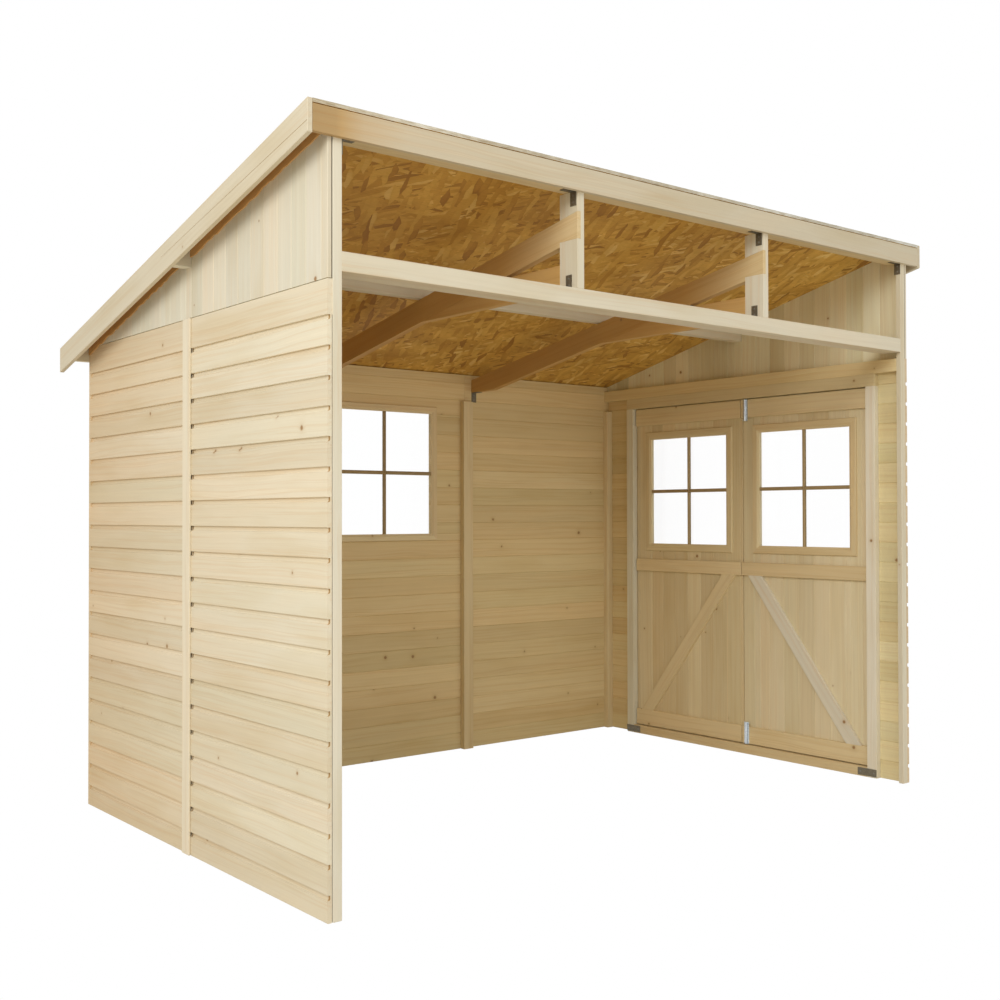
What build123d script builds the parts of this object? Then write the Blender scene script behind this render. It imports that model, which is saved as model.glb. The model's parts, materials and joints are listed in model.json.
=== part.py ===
"""Lean-to timber garden shed with an open high side and a pair of glazed doors."""
from build123d import *
from math import hypot, sqrt
import os

# Driving dimensions in millimetres.
# X runs along the open high side, Y from that side to the low back wall, Z up.
wall_width = 3050
wall_height = 1930
back_wall_rise = 27.5
side_overhang = 80
rear_overhang = 130

cladding = 18
stud = 32
front_post_depth = 24
corner_post_width = 40
joint_stud_width = 60
plate_height = 58
head_height = 57
batten_width = 58
batten_thickness = 8

fascia_thickness = 18
fascia_height = 85
front_beam_height = 58
front_beam_depth = 70
deck_thickness = 12
barge_thickness = 18
barge_height = 103

truss_timber = 32
truss_depth = 95
truss_lap = 16
truss_shift = 14
short_post_height = 346
rafter_front_gap = 73
rafter_rear_gap = 30
rafter_end_depth = 64
mid_beam_rise = 87
mid_beam_height = 61
mid_beam_depth = 95
purlin_width = 45
mid_purlin_y = 975
rear_purlin_width = 28
rear_purlin_height = 84

back_panel_width = 1000
back_panel_shift = -37
window_width = 560
window_height = 616
window_drop = 189
window_trim = 34
window_trim_thickness = 12
glass_thickness = 4

doorway_front = 190
doorway_width = 1520
doorway_rear = 250
jamb_width = 50
sill_height = 44
door_gap = 5
meeting_gap = 6.5
leaf_ground_gap = 12
door_lap = 15
leaf_boards = 18
leaf_rail = 18
leaf_window_width = 540
leaf_window_lift = 47
leaf_window_drop = 40
leaf_trim = 40
leaf_trim_thickness = 10
bottom_rail_top = 135
mid_rail_bottom = 908
mid_rail_top = 974
top_rail_height = 92
brace_width = 68
brace_inset = 40

hinge_length = 260
hinge_plate_height = 96
hinge_plate_width = 32
hinge_thickness = 3
knuckle_radius = 6
knuckle_length = 30
pin_radius = 3
pin_play = 0.3
knuckle_gap = 1
pin_stand_off = 7

bracket_width = 30
bracket_leg = 52
bracket_thickness = 2.5
bracket_inset = 6
frame_plate_length = 100
frame_plate_height = 34
frame_plate_lift = 6
bolt_length = 110
bolt_width = 30
bolt_plate = 2.5
bolt_rod_radius = 6

# Places that follow from the driving dimensions.
half_width = wall_width / 2
wall_depth = doorway_front + doorway_width + doorway_rear
overall_depth = fascia_thickness + wall_depth + rear_overhang
front_y = fascia_thickness - overall_depth / 2
back_y = front_y + wall_depth
wall_thickness = cladding + stud
board_x = half_width - cladding
stud_x = half_width - wall_thickness
board_y = back_y - cladding
stud_y = back_y - wall_thickness
roof_edge_x = half_width + side_overhang
deck_edge_x = roof_edge_x - barge_thickness
fascia_y = front_y - fascia_thickness
roof_rear_y = back_y + rear_overhang
centre_y = front_y + wall_depth / 2
truss_spacing = wall_width / 3

# Heights. The roof lies on the open side's top beam and on the back wall.
plate_bottom = wall_height - plate_height
stud_top = plate_bottom - head_height
back_wall_top = wall_height + back_wall_rise
mid_beam_top = wall_height + mid_beam_rise
mid_beam_bottom = mid_beam_top - mid_beam_height
front_beam_under = mid_beam_top + short_post_height
front_beam_top = front_beam_under + front_beam_height
front_beam_rear = front_y + front_beam_depth
roof_fall = (front_beam_top - back_wall_top) / (back_y - front_beam_rear)
deck_drop = deck_thickness * hypot(1, roof_fall)


def roof_under(y):
    """Height of the deck's lower face at a place y."""
    return back_wall_top + (back_y - y) * roof_fall


def roof_top(y):
    """Height of the roof's outer surface at a place y."""
    return roof_under(y) + deck_drop


rafter_front_top = front_beam_under - rafter_front_gap
rafter_rear_top = roof_under(board_y) - rafter_rear_gap
rafter_rear_height = rafter_rear_top - rafter_end_depth
rafter_fall = (rafter_front_top - rafter_rear_top) / (board_y - front_y)


def rafter_top(y):
    """Height of a rafter's top edge at a place y."""
    return rafter_front_top - (y - front_y) * rafter_fall


def save(piece, label):
    """Name a finished piece and write it as a file of its own."""
    piece.part.label = label
    export_step(piece.part, f"parts/{label}.step")


def block(x0, x1, y0, y1, z0, z1):
    """Add a square-cut board between six faces to the piece being built."""
    with Locations(((x0 + x1) / 2, (y0 + y1) / 2, (z0 + z1) / 2)):
        Box(abs(x1 - x0), abs(y1 - y0), abs(z1 - z0))


def side_plate(x0, x1, outline):
    """Add a plate between two places in X from its outline in Y and Z."""
    with BuildSketch(Plane.YZ.offset(x0)) as plate_outline:
        with BuildLine():
            Polyline(*outline, close=True)
        make_face()
    extrude(plate_outline.sketch, amount=x1 - x0)


os.makedirs("parts", exist_ok=True)

# Side walls. Each has a horizontal-board lower part and a boarded gable above it.
side_joint_y = centre_y
gable_joint_y = front_y + mid_purlin_y
purlin_front = gable_joint_y - purlin_width / 2
purlin_rear = gable_joint_y + purlin_width / 2
purlin_underside = rafter_top(purlin_front)
purlin_top = roof_under(purlin_rear)

for label, y0, y1 in (
    ("left_wall_front_panel", front_y, side_joint_y),
    ("left_wall_rear_panel", side_joint_y, back_y),
):
    with BuildPart() as wall_panel:
        block(-half_width, -board_x, y0, y1, 0, wall_height)
    save(wall_panel, label)

with BuildPart() as left_joint_batten:
    block(
        -half_width - batten_thickness,
        -half_width,
        side_joint_y - batten_width / 2,
        side_joint_y + batten_width / 2,
        0,
        wall_height,
    )
save(left_joint_batten, "left_wall_joint_batten")

with BuildPart() as front_posts:
    for side in (-1, 1):
        block(
            side * board_x,
            side * stud_x,
            front_y,
            front_y + front_post_depth,
            0,
            front_beam_under,
        )
save(front_posts, "front_corner_posts")

with BuildPart() as rear_posts:
    for side in (-1, 1):
        inner_x = board_x - corner_post_width
        block(side * board_x, side * inner_x, stud_y, board_y, 0, stud_top)
save(rear_posts, "rear_corner_posts")

for side, label in ((-1, "left"), (1, "right")):
    x0, x1 = sorted((side * half_width, side * board_x))
    with BuildPart() as front_gable:
        side_plate(x0, x1, (
            (front_y, wall_height),
            (purlin_front, wall_height),
            (purlin_front, roof_under(purlin_front)),
            (front_y, roof_under(front_y)),
        ))
    save(front_gable, f"{label}_gable_front_panel")
    with BuildPart() as rear_gable:
        side_plate(x0, x1, (
            (purlin_front, wall_height),
            (back_y, wall_height),
            (back_y, roof_under(back_y)),
            (purlin_rear, purlin_top),
            (purlin_rear, purlin_underside),
            (purlin_front, purlin_underside),
        ))
    save(rear_gable, f"{label}_gable_rear_panel")

# Back wall. Three board panels between the side walls, with a window in the middle one.
window_x = back_panel_shift
left_back_joint = window_x - back_panel_width / 2
right_back_joint = window_x + back_panel_width / 2
window_z = wall_height - window_drop - window_height / 2

for label, x0, x1 in (
    ("back_wall_left_panel", -board_x, left_back_joint),
    ("back_wall_right_panel", right_back_joint, board_x),
):
    with BuildPart() as back_panel:
        block(x0, x1, board_y, back_y, 0, back_wall_top)
    save(back_panel, label)

with BuildPart() as window_panel:
    block(left_back_joint, right_back_joint, board_y, back_y, 0, back_wall_top)
    with Locations((window_x, (board_y + back_y) / 2, window_z)):
        Box(window_width, cladding, window_height, mode=Mode.SUBTRACT)
save(window_panel, "back_wall_window_panel")

# Studs behind the joints between panels, one on the left wall and two on the back wall.
with BuildPart() as joint_studs:
    block(
        -board_x,
        -stud_x,
        side_joint_y - joint_stud_width / 2,
        side_joint_y + joint_stud_width / 2,
        0,
        plate_bottom,
    )
    for joint_x in (left_back_joint, right_back_joint):
        block(
            joint_x - joint_stud_width / 2,
            joint_x + joint_stud_width / 2,
            stud_y,
            board_y,
            0,
            stud_top,
        )
save(joint_studs, "wall_joint_studs")

# Window in the back wall: a trim frame inside and one pane in the opening.
with BuildPart() as window_frame:
    with BuildSketch(Plane.XZ.offset(-board_y)) as trim_outline:
        with Locations((window_x, window_z)):
            Rectangle(window_width + 2 * window_trim, window_height + 2 * window_trim)
            Rectangle(window_width, window_height, mode=Mode.SUBTRACT)
    extrude(amount=window_trim_thickness)
save(window_frame, "back_window_frame")

with BuildPart() as window_pane:
    with Locations((window_x, (board_y + back_y) / 2, window_z)):
        Box(window_width, glass_thickness, window_height)
save(window_pane, "back_window_pane")

# Right wall. Board strips beside the doorway, a strip over it, and the door frame.
doorway_front_y = front_y + doorway_front
doorway_rear_y = doorway_front_y + doorway_width
doorway_top = stud_top
sheathing_front = doorway_front_y - door_lap - door_gap
sheathing_rear = doorway_rear_y + door_lap + door_gap
header_bottom = doorway_top + door_lap + door_gap

for label, y0, y1, z0 in (
    ("right_wall_front_panel", front_y, sheathing_front, 0),
    ("right_wall_rear_panel", sheathing_rear, back_y, 0),
    ("right_wall_header_panel", sheathing_front, sheathing_rear, header_bottom),
):
    with BuildPart() as right_panel:
        block(board_x, half_width, y0, y1, z0, wall_height)
    save(right_panel, label)

with BuildPart() as door_jambs:
    for y0 in (doorway_front_y - jamb_width, doorway_rear_y):
        block(stud_x, board_x, y0, y0 + jamb_width, 0, doorway_top)
save(door_jambs, "door_frame_jambs")

with BuildPart() as door_frame_rails:
    block(
        stud_x,
        board_x,
        doorway_front_y - jamb_width,
        doorway_rear_y + jamb_width,
        doorway_top,
        plate_bottom,
    )
    block(stud_x, board_x, doorway_front_y, doorway_rear_y, 0, sill_height)
save(door_frame_rails, "door_frame_head_and_sill")

with BuildPart() as top_plates:
    for side in (-1, 1):
        block(
            side * board_x,
            side * stud_x,
            front_y + front_post_depth,
            board_y,
            plate_bottom,
            wall_height,
        )
save(top_plates, "side_wall_top_plates")

# Open side: beam at wall height, two short posts on it and the beam under the roof's high edge.
with BuildPart() as mid_beam:
    block(-stud_x, stud_x, front_y, front_y + mid_beam_depth, mid_beam_bottom, mid_beam_top)
save(mid_beam, "open_side_mid_beam")

with BuildPart() as front_beam:
    side_plate(-board_x, board_x, (
        (front_y, front_beam_under),
        (front_beam_rear, front_beam_under),
        (front_beam_rear, front_beam_top),
        (front_y, roof_under(front_y)),
    ))
save(front_beam, "open_side_top_beam")

with BuildPart() as fascia:
    side_plate(-deck_edge_x, deck_edge_x, (
        (fascia_y, roof_under(fascia_y) - fascia_height),
        (front_y, roof_under(fascia_y) - fascia_height),
        (front_y, roof_under(front_y)),
        (fascia_y, roof_under(fascia_y)),
    ))
save(fascia, "roof_front_fascia")

# Two roof frames, each a short post, a sloping rafter lapped into it and a level tie behind it.
post_rear = front_y + truss_depth
rafter_drop = truss_depth * hypot(1, rafter_fall)
rafter_seat = rafter_front_top - rafter_drop
level_start_y = front_y + (rafter_seat - rafter_rear_height) / rafter_fall
tie_top = mid_beam_top + truss_depth
tie_top_end = front_y + (rafter_seat - tie_top) / rafter_fall
tie_bottom_end = front_y + (rafter_seat - mid_beam_top) / rafter_fall

with BuildPart() as rafters:
    for side in (-1, 1):
        x0 = truss_shift + side * truss_spacing / 2 - truss_timber / 2
        side_plate(x0, x0 + truss_timber, (
            (front_y, rafter_seat),
            (post_rear, rafter_seat),
            (post_rear, rafter_top(post_rear) - rafter_drop),
            (level_start_y, rafter_rear_height),
            (board_y, rafter_rear_height),
            (board_y, rafter_top(board_y)),
            (front_y, rafter_front_top),
        ))
        with BuildSketch(Plane.YZ.offset(x0 + truss_lap)) as lap_outline:
            with Locations(((front_y + post_rear) / 2, rafter_seat)):
                Rectangle(truss_depth, 3 * truss_depth)
        extrude(lap_outline.sketch, amount=truss_timber - truss_lap, mode=Mode.SUBTRACT)
save(rafters, "rafters")

with BuildPart() as short_posts:
    for side in (-1, 1):
        x0 = truss_shift + side * truss_spacing / 2 - truss_timber / 2
        block(x0, x0 + truss_timber, front_y, post_rear, mid_beam_top, front_beam_under)
        with BuildSketch(Plane.YZ.offset(x0)) as housing_outline:
            with BuildLine():
                Polyline(
                    (front_y, rafter_seat),
                    (post_rear, rafter_seat),
                    (post_rear, rafter_top(post_rear)),
                    (front_y, rafter_front_top),
                    close=True,
                )
            make_face()
        extrude(housing_outline.sketch, amount=truss_lap, mode=Mode.SUBTRACT)
save(short_posts, "short_posts")

with BuildPart() as ties:
    for side in (-1, 1):
        x0 = truss_shift + side * truss_spacing / 2 - truss_timber / 2
        side_plate(x0, x0 + truss_timber, (
            (post_rear, mid_beam_top),
            (tie_bottom_end, mid_beam_top),
            (tie_top_end, tie_top),
            (post_rear, tie_top),
        ))
save(ties, "rafter_ties")

# Purlins along the roof, the deck in two rows of sheets, and the barge boards on both slopes.
with BuildPart() as purlins:
    side_plate(-deck_edge_x, deck_edge_x, (
        (purlin_front, purlin_underside),
        (purlin_rear, purlin_underside),
        (purlin_rear, purlin_top),
        (purlin_front, roof_under(purlin_front)),
    ))
    rear_purlin_face = back_y + rear_purlin_width
    rear_purlin_underside = back_wall_top - rear_purlin_height
    side_plate(-deck_edge_x, deck_edge_x, (
        (back_y, rear_purlin_underside),
        (rear_purlin_face, rear_purlin_underside),
        (rear_purlin_face, roof_under(rear_purlin_face)),
        (back_y, back_wall_top),
    ))
save(purlins, "roof_purlins")

for label, y0, y1 in (
    ("roof_deck_front", fascia_y, gable_joint_y),
    ("roof_deck_rear", gable_joint_y, roof_rear_y),
):
    with BuildPart() as deck:
        side_plate(-deck_edge_x, deck_edge_x, (
            (y0, roof_under(y0)),
            (y1, roof_under(y1)),
            (y1, roof_top(y1)),
            (y0, roof_top(y0)),
        ))
    save(deck, label)

with BuildPart() as barge_boards:
    for x0 in (-roof_edge_x, deck_edge_x):
        side_plate(x0, x0 + barge_thickness, (
            (fascia_y, roof_top(fascia_y) - barge_height),
            (roof_rear_y, roof_top(roof_rear_y) - barge_height),
            (roof_rear_y, roof_top(roof_rear_y)),
            (fascia_y, roof_top(fascia_y)),
        ))
save(barge_boards, "barge_boards")


def corner_bracket(x, y0, z, x_way, z_way):
    """Add a steel angle whose corner is at x and z, with its legs going the given ways."""
    y1 = y0 + bracket_width
    block(x, x + x_way * bracket_leg, y0, y1, z, z + z_way * bracket_thickness)
    block(x, x + x_way * bracket_thickness, y0, y1, z, z + z_way * bracket_leg)


# Steel angles at the short posts' ends, the corner posts' tops and the rafters' low ends,
# and flat plates at the foot of the door frame.
with BuildPart() as brackets:
    for side in (-1, 1):
        post_face = truss_shift + side * truss_spacing / 2 - truss_timber / 2
        corner_bracket(post_face, front_y + bracket_inset, front_beam_under, -1, -1)
        corner_bracket(post_face, front_y + bracket_width, mid_beam_top, -1, 1)
        corner_bracket(side * stud_x, front_y, front_beam_under, -side, -1)
        x0 = truss_shift + side * truss_spacing / 2 - bracket_width / 2
        x1 = x0 + bracket_width
        z0 = rafter_rear_height - bracket_thickness
        block(x0, x1, board_y - bracket_leg, board_y, z0, rafter_rear_height)
        leg_z = rafter_rear_height - bracket_leg
        block(x0, x1, board_y - bracket_thickness, board_y, leg_z, rafter_rear_height)
    for middle in (doorway_front_y, doorway_rear_y):
        block(
            stud_x - bracket_thickness,
            stud_x,
            middle - frame_plate_length / 2,
            middle + frame_plate_length / 2,
            frame_plate_lift,
            frame_plate_lift + frame_plate_height,
        )
save(brackets, "frame_brackets")

# Door leaves. Vertical boards with a window opening, rails and a brace inside, hinges outside.
boards_inner_x = board_x + door_gap
boards_outer_x = boards_inner_x + leaf_boards
rails_inner_x = boards_inner_x - leaf_rail
pin_x = boards_outer_x + pin_stand_off
doorway_middle_y = (doorway_front_y + doorway_rear_y) / 2
leaf_top = doorway_top + door_lap
rail_top = doorway_top - door_gap
rail_bottom = sill_height + door_gap
leaf_window_sill = mid_rail_top + leaf_window_lift + leaf_trim
leaf_window_top = rail_top - top_rail_height - leaf_window_drop - leaf_trim
leaf_window_height = leaf_window_top - leaf_window_sill
leaf_window_z = (leaf_window_sill + leaf_window_top) / 2
knuckle_reach = knuckle_length + knuckle_gap
hinge_heights = (
    (rail_bottom + bottom_rail_top) / 2,
    (mid_rail_bottom + mid_rail_top) / 2,
    rail_top - top_rail_height / 2,
)

for way, label, frame_y in ((1, "front", doorway_front_y), (-1, "rear", doorway_rear_y)):
    hinge_edge = frame_y - way * door_lap
    meeting_edge = doorway_middle_y - way * meeting_gap / 2
    rail_end = frame_y + way * door_gap
    pin_y = hinge_edge - way * door_gap / 2
    leaf_middle_y = (rail_end + meeting_edge) / 2

    with BuildPart() as leaf_panel:
        block(boards_inner_x, boards_outer_x, hinge_edge, meeting_edge, leaf_ground_gap, leaf_top)
        with BuildSketch(Plane.YZ.offset(boards_inner_x)) as opening_outline:
            with Locations((leaf_middle_y, leaf_window_z)):
                Rectangle(leaf_window_width, leaf_window_height)
        extrude(opening_outline.sketch, amount=leaf_boards, mode=Mode.SUBTRACT)
    save(leaf_panel, f"{label}_door_boards")

    with BuildPart() as leaf_rails:
        for z0, z1 in (
            (rail_bottom, bottom_rail_top),
            (mid_rail_bottom, mid_rail_top),
            (rail_top - top_rail_height, rail_top),
        ):
            block(rails_inner_x, boards_inner_x, rail_end, meeting_edge, z0, z1)
    save(leaf_rails, f"{label}_door_rails")

    brace_foot = rail_end + way * brace_inset
    brace_head = meeting_edge - way * brace_inset
    brace_rise = mid_rail_bottom - bottom_rail_top
    brace_run = abs(brace_head - brace_foot)
    spare = brace_rise**2 - brace_width**2
    lean = brace_width**2 * brace_run
    reach = brace_width * hypot(brace_run, brace_rise)
    cut_width = (sqrt(lean**2 + spare * reach**2) - lean) / spare
    with BuildPart() as brace:
        side_plate(rails_inner_x, boards_inner_x, (
            (brace_foot, bottom_rail_top),
            (brace_foot + way * cut_width, bottom_rail_top),
            (brace_head, mid_rail_bottom),
            (brace_head - way * cut_width, mid_rail_bottom),
        ))
    save(brace, f"{label}_door_brace")

    with BuildPart() as leaf_frame:
        with BuildSketch(Plane.YZ.offset(boards_inner_x - leaf_trim_thickness)) as trim_ring:
            with Locations((leaf_middle_y, leaf_window_z)):
                Rectangle(leaf_window_width + 2 * leaf_trim, leaf_window_height + 2 * leaf_trim)
                Rectangle(leaf_window_width, leaf_window_height, mode=Mode.SUBTRACT)
        extrude(trim_ring.sketch, amount=leaf_trim_thickness)
    save(leaf_frame, f"{label}_door_window_frame")

    with BuildPart() as leaf_pane:
        with Locations(((boards_inner_x + boards_outer_x) / 2, leaf_middle_y, leaf_window_z)):
            Box(glass_thickness, leaf_window_width, leaf_window_height)
    save(leaf_pane, f"{label}_door_window_pane")

    with BuildPart() as leaf_hinges:
        for z in hinge_heights:
            strap_end = pin_y + way * hinge_length
            z0 = z - knuckle_length / 2
            z1 = z + knuckle_length / 2
            block(boards_outer_x, boards_outer_x + hinge_thickness, hinge_edge, strap_end, z0, z1)
            with BuildSketch(Plane.XY.offset(z - knuckle_length / 2)) as knuckle_outline:
                with BuildLine():
                    Polyline(
                        (boards_outer_x, hinge_edge),
                        (boards_outer_x + hinge_thickness, hinge_edge + way * pin_stand_off),
                        (pin_x, pin_y + way * knuckle_radius),
                        (pin_x, pin_y),
                        close=True,
                    )
                make_face()
                with Locations((pin_x, pin_y)):
                    Circle(knuckle_radius)
                    Circle(pin_radius + pin_play, mode=Mode.SUBTRACT)
            extrude(knuckle_outline.sketch, amount=knuckle_length)
    save(leaf_hinges, f"{label}_door_hinges")

with BuildPart() as frame_hinges:
    for way, frame_y in ((1, doorway_front_y), (-1, doorway_rear_y)):
        pin_y = frame_y - way * (door_lap + door_gap / 2)
        plate_edge = pin_y - way * knuckle_radius
        for z in hinge_heights:
            block(
                half_width,
                half_width + hinge_thickness,
                plate_edge,
                plate_edge - way * hinge_plate_width,
                z - hinge_plate_height / 2,
                z + hinge_plate_height / 2,
            )
            with Locations((pin_x, pin_y, z)):
                Cylinder(pin_radius, knuckle_length + 2 * knuckle_reach)
            for z_way in (-1, 1):
                z0 = z + z_way * knuckle_reach
                with Locations((pin_x, pin_y, z0)):
                    Cylinder(knuckle_radius, knuckle_length)
                block(
                    half_width,
                    pin_x,
                    plate_edge,
                    plate_edge + way * hinge_thickness,
                    z0 - knuckle_length / 2,
                    z0 + knuckle_length / 2,
                )
save(frame_hinges, "door_frame_hinges")

# Barrel bolts on the front leaf, beside the meeting line, drawn back clear of the head and sill.
with BuildPart() as door_bolts:
    bolt_y = doorway_middle_y - meeting_gap / 2 - bolt_width
    plate_x = rails_inner_x - bolt_plate
    for z0 in (rail_bottom, rail_top - bolt_length):
        block(
            plate_x,
            rails_inner_x,
            bolt_y - bolt_width / 2,
            bolt_y + bolt_width / 2,
            z0,
            z0 + bolt_length,
        )
        with Locations((plate_x - bolt_rod_radius + bolt_plate, bolt_y, z0 + bolt_length / 2)):
            Cylinder(bolt_rod_radius, bolt_length)
save(door_bolts, "front_door_bolts")
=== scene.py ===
"""Looks of a lean-to timber garden shed: boards, window bars, fittings, woods, light and camera."""
import json
import math
import random

import bmesh
import bpy
from mathutils import Matrix, Vector
from mathutils.bvhtree import BVHTree

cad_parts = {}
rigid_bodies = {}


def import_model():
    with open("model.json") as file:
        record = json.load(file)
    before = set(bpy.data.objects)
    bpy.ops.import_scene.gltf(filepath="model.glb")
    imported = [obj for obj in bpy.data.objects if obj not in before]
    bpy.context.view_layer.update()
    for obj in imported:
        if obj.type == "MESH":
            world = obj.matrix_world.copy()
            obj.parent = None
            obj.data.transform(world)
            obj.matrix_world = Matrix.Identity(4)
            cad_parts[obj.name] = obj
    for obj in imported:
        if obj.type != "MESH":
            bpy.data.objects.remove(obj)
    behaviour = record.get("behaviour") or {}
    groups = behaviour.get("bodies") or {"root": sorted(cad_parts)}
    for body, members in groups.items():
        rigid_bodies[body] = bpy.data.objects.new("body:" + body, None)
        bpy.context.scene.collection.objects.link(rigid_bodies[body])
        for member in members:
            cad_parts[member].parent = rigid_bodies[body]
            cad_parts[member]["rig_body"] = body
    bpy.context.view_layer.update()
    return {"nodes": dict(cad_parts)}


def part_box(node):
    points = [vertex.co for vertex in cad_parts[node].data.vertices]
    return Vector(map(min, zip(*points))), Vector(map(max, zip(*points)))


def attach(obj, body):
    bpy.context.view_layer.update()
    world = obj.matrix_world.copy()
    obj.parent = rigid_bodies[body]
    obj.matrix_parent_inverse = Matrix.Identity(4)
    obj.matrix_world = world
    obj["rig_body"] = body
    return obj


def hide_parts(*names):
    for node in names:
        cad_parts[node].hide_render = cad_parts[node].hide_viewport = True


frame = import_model()
rng = random.Random(7)

# Places read from the frame. Lengths are in metres. The open side faces -Y and the doors are at +X.
WALL_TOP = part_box("left_wall_front_panel")[1].z
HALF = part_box("right_wall_front_panel")[1].x
BOARD_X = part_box("right_wall_front_panel")[0].x
FRONT_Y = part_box("left_wall_front_panel")[0].y
BACK_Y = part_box("left_wall_rear_panel")[1].y
BOARD_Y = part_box("back_wall_left_panel")[0].y
CLAD = HALF - BOARD_X

UP = (0, 0, 1)
ALONG_X = (1, 0, 0)
ALONG_Y = (0, 1, 0)
TINY = 1e-6
WELD = 1e-5

# Sizes of the boards.
COURSE = 0.0915
FIRST_COURSE = 0.083
NARROWEST_TOP_BOARD = 0.03
NARROWEST_FOOT_BOARD = 0.012
PLANK = 0.0915
NARROWEST_PLANK = 0.008
END_GAP = 0.0022


# Materials.
def new_material(name):
    """A material with one shader, as the material, its node tree and the shader."""
    material = bpy.data.materials.new(name)
    material.use_nodes = True
    tree = material.node_tree
    tree.nodes.clear()
    out = tree.nodes.new("ShaderNodeOutputMaterial")
    shader = tree.nodes.new("ShaderNodeBsdfPrincipled")
    tree.links.new(shader.outputs[0], out.inputs[0])
    return material, tree, shader


def feed(tree, socket, value):
    """Joins a socket to another node's output, or gives it a plain number or colour."""
    if hasattr(value, "links"):
        tree.links.new(value, socket)
    elif socket.type == "RGBA":
        socket.default_value = (*value, 1.0)
    else:
        socket.default_value = value


def add_node(tree, kind, inputs, **settings):
    """A node with its settings, and its inputs fed by their names or numbers."""
    node = tree.nodes.new("ShaderNode" + kind)
    for name, value in settings.items():
        setattr(node, name, value)
    for key, value in inputs.items():
        feed(tree, node.inputs[key], value)
    return node


def math_node(tree, kind, *values, clamp=False):
    inputs = dict(enumerate(values))
    return add_node(tree, "Math", inputs, operation=kind, use_clamp=clamp).outputs[0]


def ramp(tree, source, stops):
    """A value turned into a colour. Each stop is a place and a colour."""
    node = add_node(tree, "ValToRGB", {0: source})
    elements = node.color_ramp.elements
    while len(elements) < len(stops):
        elements.new(0.5)
    for element, (place, colour) in zip(elements, stops):
        element.position = place
        element.color = (*colour, 1.0)
    return node.outputs[0]


def mapped(tree, vector, scale=(1.0, 1.0, 1.0), turn=0.0, move=(0.0, 0.0, 0.0)):
    """A place that is scaled, turned about Z and then moved."""
    inputs = {"Vector": vector, "Scale": scale, "Rotation": (0.0, 0.0, turn), "Location": move}
    return add_node(tree, "Mapping", inputs).outputs[0]


def noise(tree, vector, scale=1.0, detail=2.0, rough=0.55, stretch=None, output="Fac"):
    """Soft noise. stretch scales each axis by itself first."""
    place = mapped(tree, vector, stretch) if stretch else vector
    inputs = {"Vector": place, "Scale": scale, "Detail": detail, "Roughness": rough}
    return add_node(tree, "TexNoise", inputs).outputs[output]


def cells(tree, vector, scale):
    """Flat cells, as the distance to a cell's middle and the cell's three random values."""
    node = add_node(tree, "TexVoronoi", {"Vector": vector, "Scale": scale}, voronoi_dimensions="2D")
    return node.outputs["Distance"], channels(tree, node.outputs["Color"])


def channels(tree, colour):
    return add_node(tree, "SeparateColor", {0: colour}).outputs[0:3]


def coordinates(tree, kind):
    return add_node(tree, "TexCoord", {}).outputs[kind]


def axis_of(tree, vector, axis):
    return add_node(tree, "SeparateXYZ", {0: vector}).outputs[axis]


def attribute(tree, name, output):
    return add_node(tree, "Attribute", {}, attribute_name=name).outputs[output]


def mixed(tree, kind, share, a, b):
    """Two colours mixed in one of the blend types."""
    inputs = {0: share, 6: a, 7: b}
    return add_node(tree, "Mix", inputs, data_type="RGBA", blend_type=kind).outputs[2]


def mixed_values(tree, share, a, b):
    return add_node(tree, "Mix", {0: share, 2: a, 3: b}, data_type="FLOAT").outputs[0]


def tinted(tree, colour, source, stops):
    """A colour multiplied by the colour that a ramp gives."""
    return mixed(tree, "MULTIPLY", 1.0, colour, ramp(tree, source, stops))


def finish_shader(tree, shader, inputs, height=None, strength=0.0, distance=0.0):
    """Feeds the shader, and gives it a bump from a height if there is one."""
    for name, value in inputs.items():
        feed(tree, shader.inputs[name], value)
    if height:
        bump = {"Height": height, "Strength": strength, "Distance": distance}
        tree.links.new(add_node(tree, "Bump", bump).outputs[0], shader.inputs["Normal"])


# Spruce. The stretches are along the grain and across it. Knots lie in cells, and a knot's size
# is a share of its cell.
WHITE = (1.0, 1.0, 1.0)
WAVE_STRETCH = (1.1, 5.0, 5.0)
WAVE_HEIGHT = 0.05
STREAK_STRETCH = (0.7, 62.0, 30.0)
FIBRE_STRETCH = (6.0, 420.0, 420.0)
CLOUD_STRETCH = (1.6, 8.0, 8.0)
KNOT_CELLS = 5.5
KNOT_SIZE = 0.028
KNOT_SIZE_RANGE = 0.035
KNOT_RAGGEDNESS = 0.02
KNOT_EDGE_SCALE = 90.0
KNOT_EDGE_SHARPNESS = 45.0
KNOT_RING_FADE = 2.2
KNOT_RING_SHARE = 0.4
KNOT_BEND = 0.012
KNOT_COLOUR = (0.36, 0.21, 0.09)
FIBRE_STOPS = ((0.3, (0.96, 0.95, 0.93)), (0.7, WHITE))
CLOUD_STOPS = ((0.3, (0.95, 0.92, 0.86)), (0.5, WHITE), (0.75, (1.03, 1.0, 0.97)))
TINT_STOPS = (
    (0.0, (0.985, 1.0, 0.97)),
    (0.35, WHITE),
    (0.7, (1.01, 0.985, 0.94)),
    (1.0, (1.0, 0.965, 0.93)),
)
DARK_BOARD_DROP = (0.08, 0.09, 0.12)
LIGHT_BOARD = (1.03, 1.03, 1.03)
# Stops for the third tone channel: painted shade and browner tone, down to near black.
SHADE_AND_TONE_STOPS = ((0.0, (0.07, 0.035, 0.015)), (0.5, (0.80, 0.60, 0.36)), (1.0, WHITE))


def between(a, b, share):
    """A colour that is a share of the way from a to b."""
    return tuple((1.0 - share) * p + share * q for p, q in zip(a, b))


def darker(colour, share):
    return tuple(share * c for c in colour)


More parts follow.
